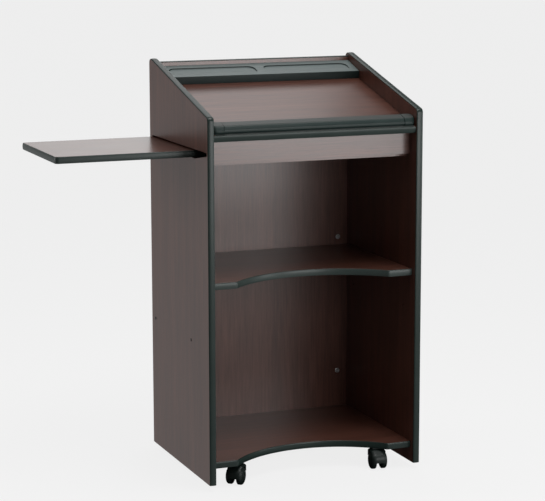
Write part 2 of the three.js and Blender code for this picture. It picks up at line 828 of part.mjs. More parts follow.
function caster({ name, x, y, heading, brake }) {
  const group = new THREE.Group()
  group.position.set(x, y, 0)
  group.rotation.z = THREE.MathUtils.degToRad(heading)
  group.add(casterPlate(name))
  group.add(casterHood(name, brake))
  group.add(casterAxle(name))
  group.add(casterWheel(`${name}_wheel_a`, 1))
  group.add(casterWheel(`${name}_wheel_b`, -1))
  if (brake) group.add(brakePedal(name))
  return group
}

// ---- Assembly -----------------------------------------------------------------------------

function desk() {
  const group = new THREE.Group()
  group.position.set(0, surfaceFrontY, surfaceFrontZ)
  group.rotation.x = tilt
  readingSurface(group)
  bookStop(group)
  pencilTray(group)
  return group
}

const lectern = new THREE.Group()
const cabinet = new THREE.Group()
cabinet.position.x = sideShelfReach / 2
lectern.add(cabinet)

sidePanels(cabinet)
backPanel(cabinet)
cabinet.add(desk())
apron(cabinet)
bayFloor(cabinet)
shelfGuides(cabinet)
sideShelf(cabinet)
shelfStops(cabinet)
shelves(cabinet)
shelfPins(cabinet)
for (const each of casters) cabinet.add(caster(each))

export default lectern
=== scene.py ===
"""Mobile presentation lectern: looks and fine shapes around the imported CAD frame.

Metres, +Z up. The presenter stands on the -Y side, and the side shelf comes out towards -X.
Flat laminate boards stay CAD nodes. Everything with a rounded or moulded shape is rebuilt
here as a finer mesh that stands for its CAD node.
"""

import math
from collections import namedtuple

import bmesh
import bpy
from mathutils import Matrix, Vector


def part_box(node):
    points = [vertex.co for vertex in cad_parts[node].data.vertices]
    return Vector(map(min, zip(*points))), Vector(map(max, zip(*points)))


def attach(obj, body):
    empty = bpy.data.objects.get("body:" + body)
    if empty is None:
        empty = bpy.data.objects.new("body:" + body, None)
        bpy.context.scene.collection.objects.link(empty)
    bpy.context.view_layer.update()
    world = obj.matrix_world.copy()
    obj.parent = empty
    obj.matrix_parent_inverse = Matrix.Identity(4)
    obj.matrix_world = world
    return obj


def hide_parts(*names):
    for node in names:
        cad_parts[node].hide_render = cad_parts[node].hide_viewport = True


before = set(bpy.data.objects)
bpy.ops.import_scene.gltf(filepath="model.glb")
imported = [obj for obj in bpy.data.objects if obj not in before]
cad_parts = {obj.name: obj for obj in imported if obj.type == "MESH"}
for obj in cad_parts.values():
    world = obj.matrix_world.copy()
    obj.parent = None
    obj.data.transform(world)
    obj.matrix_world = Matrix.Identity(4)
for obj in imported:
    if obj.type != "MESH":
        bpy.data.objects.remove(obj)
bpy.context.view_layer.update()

# ---- Driving dimensions, in metres ----------------------------------------------------------

BOARD = 0.019
GAP = 0.0003
CROWN = 0.003
BRIM = 0.0006
FRONT_HEIGHT = 1.042
TOP_FLAT = 0.022
TOP_BEND_RADIUS = 0.006
PANEL_CORNER = 0.014
READING_FALL = 0.051
READING_SETBACK = 0.004
SHELF_CORNER = 0.012
HOLLOW_HALF_WIDTH = 0.229
HOLLOW_DEPTH = 0.100
CAP_WIDTH = 0.034
BOARD_ROUNDING = 0.00025
WOOD_ROUNDING = 0.0008

left_edge_low, left_edge_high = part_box("left_side_edging")
right_edge_low, right_edge_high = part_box("right_side_edging")
MIDDLE = (left_edge_low.x + right_edge_high.x) / 2
HALF_WIDTH = (right_edge_high.x - left_edge_low.x) / 2
INNER_HALF = HALF_WIDTH - BOARD
FRONT, BACK = left_edge_low.y, left_edge_high.y
FOOT, HEIGHT = left_edge_low.z, left_edge_high.z
BACK_PANEL_FRONT = BACK - CROWN - BOARD
TILT = math.atan((HEIGHT - FRONT_HEIGHT) / (BACK - FRONT - TOP_FLAT))
SLOPE = math.tan(TILT)
SURFACE_Y = FRONT + READING_SETBACK
SURFACE_Z = FRONT_HEIGHT - READING_FALL + READING_SETBACK * SLOPE

# ---- Mesh helpers ---------------------------------------------------------------------------


def new_object(name, vertices, faces, material=None, smooth_below=35):
    """A closed mesh with outward normals, smooth except across edges sharper than the angle."""
    mesh = bpy.data.meshes.new(name)
    mesh.from_pydata([tuple(v) for v in vertices], [], faces)
    tidy = bmesh.new()
    tidy.from_mesh(mesh)
    bmesh.ops.remove_doubles(tidy, verts=tidy.verts, dist=1e-7)
    bmesh.ops.recalc_face_normals(tidy, faces=tidy.faces)
    tidy.to_mesh(mesh)
    tidy.free()
    soften(mesh, smooth_below)
    if material:
        mesh.materials.append(material)
    made = bpy.data.objects.new(name, mesh)
    bpy.context.scene.collection.objects.link(made)
    return made


def soften(mesh, smooth_below):
    mesh.shade_smooth()
    mesh.set_sharp_from_angle(angle=math.radians(smooth_below))


def finish_piece(piece, body, slot, *nodes):
    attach(piece, body)
    if nodes:
        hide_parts(*nodes)


def bevel(piece, width, segments=2, angle=40):
    modifier = piece.modifiers.new("rounded edges", "BEVEL")
    modifier.width = width
    modifier.segments = segments
    modifier.limit_method = "ANGLE"
    modifier.angle_limit = math.radians(angle)
    modifier.use_clamp_overlap = True


def loft(rings):
    """Vertices and faces of a skin over rings of points, capped at both ends."""
    size = len(rings[0])
    vertices = [point for ring in rings for point in ring]
    faces = []
    for ring in range(len(rings) - 1):
        here = ring * size
        there = here + size
        for i in range(size):
            j = (i + 1) % size
            faces.append((here + i, here + j, there + j, there + i))
    faces.append(tuple(range(size)))
    faces.append(tuple(range(len(vertices) - size, len(vertices))))
    return vertices, faces


def lathe(profile, segments=64):
    """Skin of a profile of (radius, height) turned about Z. It starts and ends on the axis."""
    vertices = []
    rows = []
    for radius, height in profile:
        if radius < 1e-9:
            rows.append([len(vertices)] * segments)
            vertices.append(Vector((0, 0, height)))
            continue
        rows.append(list(range(len(vertices), len(vertices) + segments)))
        for step in range(segments):
            angle = 2 * math.pi * step / segments
            vertices.append(Vector((radius * math.cos(angle), radius * math.sin(angle), height)))
    faces = []
    for lower, upper in zip(rows, rows[1:]):
        for i in range(segments):
            j = (i + 1) % segments
            ring = dict.fromkeys((lower[i], lower[j], upper[j], upper[i]))
            faces.append(tuple(ring))
    return vertices, faces


def moved(vertices, matrix):
    return [matrix @ Vector(v) for v in vertices]


def combine(piece, other, operation):
    """Joins or cuts a piece by another closed one, which is then removed."""
    modifier = piece.modifiers.new("combine", "BOOLEAN")
    modifier.operation = operation
    modifier.solver = "EXACT"
    modifier.object = other
    graph = bpy.context.evaluated_depsgraph_get()
    result = bpy.data.meshes.new_from_object(piece.evaluated_get(graph))
    piece.modifiers.clear()
    old = piece.data
    piece.data = result
    result.name = old.name + "_shape"
    bpy.data.meshes.remove(old)
    bpy.data.objects.remove(other)
    return piece


# ---- Outlines -------------------------------------------------------------------------------

Corner = namedtuple("Corner", "x y radius banded", defaults=(0.0, False))


def corner_points(corners, banded_offset=0.0, steps=10):
    """One list of points for each corner of a counter-clockwise outline.

    A banded corner's edge, which runs to the next corner, carries edging. The banded edges
    move outwards by the offset.
    """
    edges = []
    for i, here in enumerate(corners):
        there = corners[(i + 1) % len(corners)]
        direction = Vector((there.x - here.x, there.y - here.y)).normalized()
        offset = banded_offset if here.banded else 0.0
        start = Vector((here.x + direction.y * offset, here.y - direction.x * offset))
        edges.append((start, direction, offset))
    rows = []
    for i, here in enumerate(corners):
        before_start, before, _ = edges[i - 1]
        after_start, after, offset = edges[i]
        turn = before.cross(after)
        tip = before_start + before * ((after_start - before_start).cross(after) / turn)
        side = math.copysign(1, turn)
        radius = here.radius + side * offset if here.radius else 0
        if radius <= 0:
            rows.append([tip])
            continue
        angle = math.atan2(turn, before.dot(after))
        entry = tip - before * (radius * math.tan(abs(angle) / 2))
        centre = entry + Vector((-before.y, before.x)) * (side * radius)
        arm = entry - centre
        rows.append([centre + turned(arm, angle * k / steps) for k in range(steps + 1)])
    return rows


def turned(vector, angle):
    cosine, sine = math.cos(angle), math.sin(angle)
    return Vector((vector.x * cosine - vector.y * sine, vector.x * sine + vector.y * cosine))


def outline(corners, banded_offset=0.0, steps=10):
    rows = corner_points(corners, banded_offset, steps)
    return [point for row in rows for point in row]


def rounded_box(left, low, right, high, radius, steps=10):
    tips = ((left, low), (right, low), (right, high), (left, high))
    return outline([Corner(x, y, radius) for x, y in tips], steps=steps)


# ---- Materials ------------------------------------------------------------------------------


class Shader:
    """A Principled material built from a few procedural textures."""

    def __init__(self, name, stretch=(1, 1, 1), **sockets):
        self.material = bpy.data.materials.new(name)
        self.material.use_nodes = True
        self.tree = self.material.node_tree
        self.principled = self.tree.nodes["Principled BSDF"]
        for socket, value in sockets.items():
            self.principled.inputs[socket.replace("_", " ")].default_value = value
        coordinates = self.add("ShaderNodeTexCoord")
        mapping = self.add("ShaderNodeMapping", Scale=stretch)
        self.link(coordinates.outputs["Object"], mapping.inputs["Vector"])
        self.place = mapping.outputs["Vector"]
        self.plain_place = coordinates.outputs["Object"]

    def add(self, kind, **sockets):
        made = self.tree.nodes.new(kind)
        for socket, value in sockets.items():
            made.inputs[socket.replace("_", " ")].default_value = value
        return made

    def link(self, source, target):
        self.tree.links.new(source, target)

    def noise(self, scale, detail=4.0, roughness=0.55, distortion=0.0, place=None):
        made = self.add("ShaderNodeTexNoise", Scale=scale, Detail=detail,
                        Roughness=roughness, Distortion=distortion)
        self.link(place or self.place, made.inputs["Vector"])
        return made.outputs["Fac"]

    def ramp(self, value, stops):
        """Colours or greys at places from 0 to 1."""
        made = self.add("ShaderNodeValToRGB")
        elements = made.color_ramp.elements
        while len(elements) < len(stops):
            elements.new(0.5)
        for element, (at, colour) in zip(elements, stops):
            grey = isinstance(colour, (int, float))
            element.position = at
            element.color = (colour,) * 3 + (1,) if grey else (*colour, 1)
        self.link(value, made.inputs["Fac"])
        return made.outputs["Color"]

    def mix(self, factor, first, second, blend="MIX"):
        made = self.add("ShaderNodeMix")
        made.data_type = "RGBA"
        made.blend_type = blend
        for index, value in ((0, factor), (6, first), (7, second)):
            if isinstance(value, bpy.types.NodeSocket):
                self.link(value, made.inputs[index])
            elif isinstance(value, (int, float)):
                made.inputs[index].default_value = value
            else:
                made.inputs[index].default_value = (*value, 1)
        return made.outputs[2]

    def scale(self, value, low, high):
        made = self.add("ShaderNodeMapRange")
        made.inputs["To Min"].default_value = low
        made.inputs["To Max"].default_value = high
        self.link(value, made.inputs["Value"])
        return made.outputs["Result"]

    def facing_up(self, low, high):
        """From 0 to 1 as a face turns from upright to level."""
        geometry = self.add("ShaderNodeNewGeometry")
        split = self.add("ShaderNodeSeparateXYZ")
        self.link(geometry.outputs["True Normal"], split.inputs[0])
        made = self.add("ShaderNodeMapRange", From_Min=low, From_Max=high)
        self.link(split.outputs["Z"], made.inputs["Value"])
        return made.outputs["Result"]

    def bump(self, height, distance, strength=1.0):
        made = self.add("ShaderNodeBump", Strength=strength, Distance=distance)
        self.link(height, made.inputs["Height"])
        previous = self.principled.inputs["Normal"]
        if previous.is_linked:
            self.link(previous.links[0].from_socket, made.inputs["Normal"])
        self.link(made.outputs["Normal"], previous)

    def colour(self, socket):
        self.link(socket, self.principled.inputs["Base Color"])

    def roughness(self, value, low, high):
        self.link(self.scale(value, low, high), self.principled.inputs["Roughness"])


# How the textures are stretched for a grain along x or z.
ALONG = {"x": (0.045, 1, 1), "z": (1, 1, 0.045)}


def laminate(name, grain):
    """Dark walnut laminate with a fine straight grain along x or z, under a satin lacquer."""
    shader = Shader(name, ALONG[grain], Specular_IOR_Level=0.85)
    bands = shader.noise(26, detail=3, roughness=0.5, distortion=0.6)
    fibres = shader.noise(170, detail=6, roughness=0.62)
    pores = shader.noise(620, detail=2, roughness=0.5)
    patches = shader.noise(3.2, detail=2, place=shader.plain_place)
    base = shader.ramp(fibres, [
        (0.30, (0.072, 0.0260, 0.0170)),
        (0.48, (0.112, 0.0430, 0.0290)),
        (0.62, (0.138, 0.0550, 0.0380)),
        (0.78, (0.172, 0.0740, 0.0530)),
    ])
    shade = shader.ramp(bands, [(0.28, (0.70, 0.66, 0.64)), (0.70, (1.12, 1.12, 1.12))])
    base = shader.mix(0.85, base, shade, "MULTIPLY")
    tone = shader.ramp(patches, [(0.3, (0.90, 0.88, 0.86)), (0.7, (1.06, 1.06, 1.08))])
    base = shader.mix(0.7, base, tone, "MULTIPLY")
    ticks = shader.ramp(pores, [(0.30, (0.45, 0.42, 0.40)), (0.42, (1.0, 1.0, 1.0))])
    shader.colour(shader.mix(0.55, base, ticks, "MULTIPLY"))
    shader.roughness(fibres, 0.26, 0.36)
    shader.bump(pores, 0.00006, 0.35)
    shader.bump(patches, 0.0012, 0.06)
    return shader.material


def satin_plastic(name, dark, light, rough, texture=900.0, stretch=(1, 1, 1), painted_top_sheen=None,
                  **sockets):
    """Moulded or extruded plastic with faint cloudy tone, fine texture and soft scuffs.

    With a painted top sheen, the faces that look up are painted paler, standing in for the light
    that falls on the tops.
    """
    shader = Shader(name, stretch, **sockets)
    clouds = shader.noise(9, detail=3, place=shader.plain_place)
    grain = shader.noise(texture, detail=2)
    scuffs = shader.noise(55, detail=6, roughness=0.7, distortion=1.5)
    tone = shader.ramp(clouds, [(0.3, dark), (0.7, light)])
    # Painted sheen: faces that look up get the paler top colour, for the light falling on them.
    if painted_top_sheen:
        tone = shader.mix(shader.facing_up(0.70, 0.90), tone, painted_top_sheen)
    worn = tuple(min(1.0, 1.7 * c + 0.012) for c in light)
    marks = shader.ramp(scuffs, [(0.64, 0.0), (0.80, 0.35)])
    shader.colour(shader.mix(marks, tone, worn))
    low, high = rough
    shader.roughness(scuffs, low, high)
    shader.bump(grain, 0.00005, 0.35)
    return shader.material


def metal(name, dark, light, rough, stretch=(1, 1, 1)):
    shader = Shader(name, stretch, Metallic=1.0)
    brushed = shader.noise(1400, detail=3)
    clouds = shader.noise(60, detail=3, place=shader.plain_place)
    shader.colour(shader.ramp(clouds, [(0.3, dark), (0.7, light)]))
    shader.roughness(brushed, *rough)
    shader.bump(brushed, 0.00002, 0.3)
    return shader.material


def hardwood(name):
    shader = Shader(name, ALONG["x"])
    fibres = shader.noise(120, detail=6, roughness=0.6)
    flecks = shader.noise(420, detail=2)
    base = shader.ramp(fibres, [
        (0.3, (0.012, 0.009, 0.0075)),
        (0.55, (0.022, 0.016, 0.013)),
        (0.75, (0.034, 0.026, 0.021)),
    ])
    ticks = shader.ramp(flecks, [(0.30, (0.62, 0.55, 0.48)), (0.40, (1.0, 1.0, 1.0))])
    shader.colour(shader.mix(0.6, base, ticks, "MULTIPLY"))
    shader.roughness(fibres, 0.5, 0.66)
    shader.bump(fibres, 0.0001, 0.3)
    return shader.material


LAMINATE = {grain: laminate(f"walnut_laminate_{grain}", grain) for grain in "xz"}
EDGING = satin_plastic("edging_plastic", (0.014, 0.026, 0.0225), (0.020, 0.034, 0.030),
                       (0.28, 0.38), Specular_IOR_Level=0.32)
# The shelf edgings get a lighter copy of the edging plastic: painted light, for the brighter light
# on those edges.
SHELF_EDGING = satin_plastic("edging_plastic_painted_lighter", (0.032, 0.046, 0.042),
                             (0.042, 0.057, 0.052), (0.30, 0.40), Specular_IOR_Level=0.38)
# The book stop's and the tray's top colours are painted sheen, paler on the faces that look up.
BOOK_STOP = satin_plastic("book_stop_plastic", (0.013, 0.025, 0.023), (0.019, 0.033, 0.031),
                          (0.38, 0.50), stretch=(0.05, 1, 1), painted_top_sheen=(0.055, 0.062, 0.059),
                          Specular_IOR_Level=0.28)
TRAY = satin_plastic("tray_plastic", (0.007, 0.016, 0.015), (0.011, 0.022, 0.021),
                     (0.36, 0.48), texture=1300.0, painted_top_sheen=(0.140, 0.172, 0.170),
                     Specular_IOR_Level=0.35)
CASTER = satin_plastic("caster_nylon", (0.006, 0.011, 0.0095), (0.010, 0.016, 0.014),
                       (0.34, 0.46), Specular_IOR_Level=0.3)
STAINED_WOOD = hardwood("stained_hardwood")
ZINC = metal("cast_zinc", (0.60, 0.61, 0.61), (0.76, 0.77, 0.78), (0.22, 0.36))
STEEL = metal("plated_steel", (0.40, 0.41, 0.42), (0.58, 0.59, 0.60), (0.26, 0.40))
DARK_STEEL = metal("blackened_steel", (0.045, 0.046, 0.046), (0.085, 0.087, 0.088), (0.30, 0.44))

# ---- Flat boards: CAD nodes that keep their shape -------------------------------------------


def finish_boards():
    grains = {
        "left_side_panel": "z", "right_side_panel": "z", "back_panel": "z",
        "reading_surface": "x", "apron": "x", "shelf_bay_floor": "x", "side_shelf": "x",
    }
    finishes = {name: LAMINATE[grain] for name, grain in grains.items()}
    finishes.update({name: STAINED_WOOD for name in (
        "shelf_guide_front", "shelf_guide_rear", "shelf_stop_in", "shelf_stop_out",
    )})
    for name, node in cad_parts.items():
        if name.endswith("_plate"):
            finishes[name] = DARK_STEEL
        elif name.endswith("_axle"):
            finishes[name] = STEEL
    for name, material in finishes.items():
        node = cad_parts[name]
        node.data.materials.clear()
        node.data.materials.append(material)
        weld = node.modifiers.new("weld", "WELD")
        weld.merge_threshold = 1e-5
        width = WOOD_ROUNDING if material is STAINED_WOOD else BOARD_ROUNDING
        bevel(node, width)


# ---- Edging ---------------------------------------------------------------------------------


def crowned_section():
    """Closed section in (across the board, outwards): a crowned face over a flat seat."""
    half = BOARD / 2
    lip = 0.0002
    seat = -CROWN + lip / 2
    segments = 18
    points = []
    for step in range(segments + 1):
        angle = math.pi * (1 - step / segments)
        rise = -CROWN + BRIM + (CROWN - BRIM) * abs(math.sin(angle))
        points.append((half + half * math.cos(angle), rise))
    points.append((BOARD - lip, seat))
    points.append((lip, seat))
    return points


# Edgings drawn in the lighter copy of the plastic, painted light for the brighter light on them.
EDGINGS_PAINTED_LIGHTER = ("middle_shelf_edging", "side_shelf_edging")


def edging(node, corners, place, body):
    """The strip along a board's banded edges, which follow each other in the outline."""
    unit = 0.001
    rest = corner_points(corners)
    spread = corner_points(corners, unit)
    count = len(corners)
    start = next(i for i in range(count) if corners[i].banded and not corners[i - 1].banded)
    run = [start]
    while corners[run[-1] % count].banded:
        run.append(run[-1] + 1)
    path = []
    for i in run:
        for here, there in zip(rest[i % count], spread[i % count]):
            path.append((here, (there - here) / unit))
    section = crowned_section()
    rings = [
        [place(point + outward * rise, across) for across, rise in section]
        for point, outward in path
    ]
    material = SHELF_EDGING if node in EDGINGS_PAINTED_LIGHTER else EDGING
    piece = new_object(node + "_strip", *loft(rings), material, smooth_below=50)
    finish_piece(piece, body, "edging", node)


def side_panel_corners():
    return [
        Corner(FRONT, FOOT),
        Corner(BACK, FOOT, 0, True),
        Corner(BACK, HEIGHT, PANEL_CORNER, True),
        Corner(BACK - TOP_FLAT, HEIGHT, TOP_BEND_RADIUS, True),
        Corner(FRONT, FRONT_HEIGHT, PANEL_CORNER, True),
    ]


def desk_point(x, along, rise):
    """A point of the tilted desk: across, up the slope from its front edge, and off it."""
    y = SURFACE_Y + along * math.cos(TILT) - rise * math.sin(TILT)
    z = SURFACE_Z + along * math.sin(TILT) + rise * math.cos(TILT)
    return Vector((MIDDLE + x, y, z))


def hollow_front_corners(half_width, front, back):
    """Corners of a shelf whose front curves inwards between two straight ends."""
    radius = (HOLLOW_HALF_WIDTH ** 2 + HOLLOW_DEPTH ** 2) / (2 * HOLLOW_DEPTH)
    centre = front + HOLLOW_DEPTH - radius
    half = math.asin(HOLLOW_HALF_WIDTH / radius)
    steps = 72
    arc = []
    for step in range(1, steps):
        angle = -half + 2 * half * step / steps
        x, y = radius * math.sin(angle), centre + radius * math.cos(angle)
        arc.append(Corner(x, y, 0, True))
    return [
        Corner(-half_width, front, 0, True),
        Corner(-HOLLOW_HALF_WIDTH, front, SHELF_CORNER, True),
        *arc,
        Corner(HOLLOW_HALF_WIDTH, front, SHELF_CORNER, True),
        Corner(half_width, front),
        Corner(half_width, back),
        Corner(-half_width, back),
    ]


def all_edging():
    for side, low in (("left", left_edge_low), ("right", right_edge_low)):
        def panel_place(point, across, low=low):
            return Vector((low.x + across, point.x, point.y))
        edging(f"{side}_side_edging", side_panel_corners(), panel_place, "cabinet")

    half = INNER_HALF - GAP
    back_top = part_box("back_panel_edging")[1].z
    back_corners = [
        Corner(-half, FOOT), Corner(half, FOOT),
        Corner(half, back_top, 0, True), Corner(-half, back_top),
    ]
    edging("back_panel_edging", back_corners,
           lambda p, across: Vector((MIDDLE + p.x, BACK - CROWN - across, p.y)), "cabinet")

    behind = 0.4  # only the desk's front edge is banded, so the others just close the outline
    desk_corners = [
        Corner(-half, 0, 0, True), Corner(half, 0), Corner(half, behind), Corner(-half, behind),
    ]
    edging("reading_surface_edging", desk_corners,
           lambda p, across: desk_point(p.x, p.y, across - BOARD), "cabinet")

    low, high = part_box("side_shelf_edging")
    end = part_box("side_shelf")[1].x
    shelf_corners = [
        Corner(low.x, low.y, SHELF_CORNER, True), Corner(end, low.y),
        Corner(end, high.y, 0, True), Corner(low.x, high.y, SHELF_CORNER, True),
    ]
    edging("side_shelf_edging", shelf_corners,
           lambda p, across: Vector((p.x, p.y, low.z + across)), "side_shelf")


def hollow_shelf(node):
    """A shelf board with a smooth hollow front, and its edging."""
    low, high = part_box(node)
    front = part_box(node + "_edging")[0].y
    half = (high.x - low.x) / 2
    corners = hollow_front_corners(half, front, high.y)
    points = outline(corners, -CROWN)
    rings = [[Vector((MIDDLE + p.x, p.y, z)) for p in points] for z in (low.z, high.z)]
    board = new_object(node + "_board", *loft(rings), LAMINATE["x"])
    bevel(board, BOARD_ROUNDING)
    finish_piece(board, "cabinet", "laminate", node)
    edging(node + "_edging", corners,
           lambda p, across: Vector((MIDDLE + p.x, p.y, low.z + across)), "cabinet")


# ---- Book stop ------------------------------------------------------------------------------

RAIL_FRONT = 0.007
RAIL_DEPTH = 0.040
RAIL_HEIGHT = 0.0225
RAIL_TOP_FRONT = 0.017
RAIL_NOSE_TOP = 0.0126
RAIL_FOOT_FRONT = 0.0024
RAIL_FOOT_TOP = 0.0012


def rail_section():
    """Closed section in (up the slope, off the surface): flat top, leaning face, proud nose.

    A thin foot under the nose reaches forward to the surface's edging.
    """
    rear = RAIL_FRONT + RAIL_DEPTH
    return outline([
        Corner(RAIL_FOOT_FRONT, GAP, 0.0002),
        Corner(rear, GAP, 0.0006),
        Corner(rear, RAIL_HEIGHT, 0.003),
        Corner(RAIL_TOP_FRONT, RAIL_HEIGHT - 0.0007, 0.009),
        Corner(RAIL_FRONT + 0.0024, RAIL_NOSE_TOP + 0.0009, 0.0004),
        Corner(RAIL_FRONT + 0.0028, RAIL_NOSE_TOP, 0.0003),
        Corner(RAIL_FRONT + 0.0008, RAIL_NOSE_TOP - 0.0010, 0.0014),
        Corner(RAIL_FRONT, 0.0064, 0.0028),
        Corner(RAIL_FRONT + 0.0042, RAIL_FOOT_TOP, 0.0005),
        Corner(RAIL_FOOT_FRONT, RAIL_FOOT_TOP, 0.0003),
    ], steps=8)


def book_stop():
    section = rail_section()
    rail_half = INNER_HALF - CAP_WIDTH
    rings = [[desk_point(x, p.x, p.y) for p in section] for x in (-rail_half, rail_half)]
    rail = new_object("book_stop_extrusion", *loft(rings), BOOK_STOP, smooth_below=28)
    finish_piece(rail, "cabinet", "book_stop", "book_stop_rail")
    for side, sign in (("left", -1), ("right", 1)):
        cap = new_object(f"book_stop_end_{side}", *loft(cap_rings(section, sign)), BOOK_STOP,
                         smooth_below=40)
        finish_piece(cap, "cabinet", "book_stop", f"book_stop_cap_{side}")


def cap_rings(section, sign):
    """Sections of an end cap: a little larger than the rail, then drawn in round its end."""
    inner = INNER_HALF - CAP_WIDTH + GAP
    outer = INNER_HALF - 0.0015
    round_end = 0.011
    swell = 0.0010
    middle = RAIL_FRONT + RAIL_DEPTH / 2
    places = [(inner, -0.0010), (inner + 0.0012, swell), (outer - round_end, swell)]
    steps = 12
    rings = [cap_ring(section, sign, x, middle, spread, 1.0) for x, spread in places]
    for step in range(1, steps + 1):
        angle = math.pi / 2 * step / steps
        x = outer - round_end * (1 - math.sin(angle))
        narrow = 1 - round_end * (1 - math.cos(angle)) / (RAIL_DEPTH / 2)
        rings.append(cap_ring(section, sign, x, middle, swell, narrow))
    return rings


def cap_ring(section, sign, x, middle, spread, narrow):
    points = []
    for p in section:
        outwards = Vector((p.x - middle, p.y - RAIL_HEIGHT / 2)).normalized() * spread
        along = middle + (p.x - middle) * narrow + outwards.x
        rise = max(GAP, p.y * (0.90 + 0.10 * math.sqrt(max(narrow, 0))) + outwards.y)
        points.append(desk_point(sign * x, along, rise))
    return points


# ---- Pencil tray ----------------------------------------------------------------------------

TRAY_DEPTH = 0.081
TRAY_FRONT_HEIGHT = 0.0235
TRAY_BACK_HEIGHT = 0.028
TROUGH_DEPTH = 0.0035
TROUGH_LIP = 0.0008
TROUGH_WIDTH = 0.054
TROUGH_BACK_RIM = 0.0225
TROUGH_END_RIM = 0.0215
TROUGH_RADIUS = 0.020
TROUGH_GAP = 0.028
TROUGH_SCOOP = 0.0022

TRAY_REAR = (BACK_PANEL_FRONT - GAP - SURFACE_Y) / math.cos(TILT)
TRAY_START = TRAY_REAR - TRAY_DEPTH
TRAY_REAR_EDGE = TRAY_REAR + (TRAY_BACK_HEIGHT - GAP) * SLOPE
TRAY_RISE = (TRAY_BACK_HEIGHT - TRAY_FRONT_HEIGHT) / (TRAY_REAR_EDGE - TRAY_START)


def tray_top(along):
    return TRAY_FRONT_HEIGHT + (along - TRAY_START) * TRAY_RISE


def pencil_tray():
    """A shell with a front wall square to the surface and a top that climbs to the back."""
    half = INNER_HALF - GAP
    section = outline([
        Corner(TRAY_START, GAP, 0.0005),
        Corner(TRAY_REAR, GAP, 0.0005),
        Corner(TRAY_REAR_EDGE, TRAY_BACK_HEIGHT, 0.0014),
        Corner(TRAY_START, TRAY_FRONT_HEIGHT, 0.0012),
    ], steps=6)
    soft = 0.0008
    rings = []
    for x, drop in ((-half, soft), (soft - half, 0), (half - soft, 0), (half, soft)):
        rings.append([desk_point(x, p.x, p.y - drop * (p.y > soft)) for p in section])
    tray = new_object("pencil_tray_moulding", *loft(rings), TRAY)
    rear = TRAY_REAR_EDGE - TROUGH_BACK_RIM
    outer = half - TROUGH_END_RIM
    for left, right in ((-outer, -TROUGH_GAP / 2), (TROUGH_GAP / 2, outer)):
        combine(tray, trough_tool(left, right, rear - TROUGH_WIDTH, rear), "DIFFERENCE")
    soften(tray.data, 28)
    finish_piece(tray, "cabinet", "tray", "pencil_tray")


def trough_tool(left, right, low, high):
    """What a trough takes away: steep walls round a floor that climbs towards the presenter."""
    flare = 0.0007
    scoop = TROUGH_SCOOP
    middle = (low + high) / 2

    def depth_at(along):
        share = min(max((along - low) / (middle - low), 0), 1)
        climb = share * share * (3 - 2 * share)
        return TROUGH_LIP + (TROUGH_DEPTH - TROUGH_LIP) * climb

    levels = [(flare, None, 0.003)]
    steps = 4
    for step in range(steps + 1):
        angle = math.pi / 2 * step / steps
        levels.append((flare * (1 - math.sin(angle)), None, -flare * (1 - math.cos(angle))))
    steps = 7
    for step in range(steps + 1):
        angle = math.pi / 2 * step / steps
        levels.append((-scoop * (1 - math.cos(angle)), 1 - 0.5 * (1 - math.sin(angle)), 0))
    rings = []
    for spread, floor_share, rise in levels:
        ring = []
        for p in rounded_box(left - spread, low - spread, right + spread, high + spread,
                             TROUGH_RADIUS + spread, steps=14):
            level = rise if floor_share is None else -depth_at(p.y) * floor_share
            ring.append(desk_point(p.x, p.y, tray_top(p.y) + level))
        rings.append(ring)
    rings.extend(trough_floor(left + scoop, right - scoop, low + scoop, high - scoop, depth_at))
    return new_object("trough_tool", *loft(rings))


def trough_floor(left, right, low, high, depth_at):
    """Rings that shrink towards the middle of a trough's floor."""
    rings = []
    radius = TROUGH_RADIUS - TROUGH_SCOOP
    half = (high - low) / 2
    for share in (0.18, 0.36, 0.54, 0.72, 0.86, 0.96):
        inset = half * share
        ring = []
        for p in rounded_box(left + inset, low + inset, right - inset, high - inset,
                             max(radius - inset, 0.0004), steps=14):
            ring.append(desk_point(p.x, p.y, tray_top(p.y) - depth_at(p.y)))
        rings.append(ring)
    return rings


# ---- Small metal pieces ---------------------------------------------------------------------


def cross_recess(half_reach, half_width, low, high):
    """Two bars that cut a cross slot, drawn about Z."""
    bars = []
    for x, y in ((half_reach, half_width), (half_width, half_reach)):
        points = [(-x, -y), (x, -y), (x, y), (-x, y)]
        rings = [[Vector((px, py, z)) for px, py in points] for z in (low, high)]
        bars.append(new_object("recess", *loft(rings)))
    return combine(bars[0], bars[1], "UNION")


def cam_locks():
    depth = 0.0126
    radius = 0.0075
    soft = 0.0007
    profile = [(0, 0), (radius - soft, 0), (radius, soft)]
    profile += [(radius - soft * (1 - math.cos(a)), depth - soft * (1 - math.sin(a)))
                for a in (0, math.pi / 6, math.pi / 3, math.pi / 2)]
    profile += [(0.0052, depth), (0.0048, depth - 0.0004), (0, depth - 0.0004)]
    for name in sorted(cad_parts):
        if not name.startswith("cam_lock"):
            continue
        low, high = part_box(name)
        centre = (low + high) / 2
        turn = Matrix.Translation((centre.x, high.y, centre.z)) @ Matrix.Rotation(
            math.pi / 2, 4, "X")
        drum = new_object(name + "_drum", *lathe(profile, 48), ZINC, smooth_below=40)
        combine(drum, cross_recess(0.0042, 0.0008, depth - 0.0025, depth + 0.001), "DIFFERENCE")
        drum.data.transform(turn)
        soften(drum.data, 40)
        finish_piece(drum, "cabinet", "zinc", name)


def shelf_pins():
    for name in sorted(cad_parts):
        if not name.startswith("shelf_pin"):
            continue
        low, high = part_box(name)
        radius = (high.z - low.z) / 2
        length = high.x - low.x
        soft = 0.0007
        profile = [(0, 0), (radius - soft, 0), (radius - soft * 0.3, soft * 0.3), (radius, soft),
                   (radius, length - soft), (radius - soft * 0.3, length - soft * 0.3),
                   (radius - soft, length), (0, length)]
        centre = (low + high) / 2
        turn = Matrix.Translation((low.x, centre.y, centre.z)) @ Matrix.Rotation(
            math.pi / 2, 4, "Y")
        vertices, faces = lathe(profile, 32)
        pin = new_object(name + "_peg", moved(vertices, turn), faces, STEEL)
        finish_piece(pin, "cabinet", "steel", name)


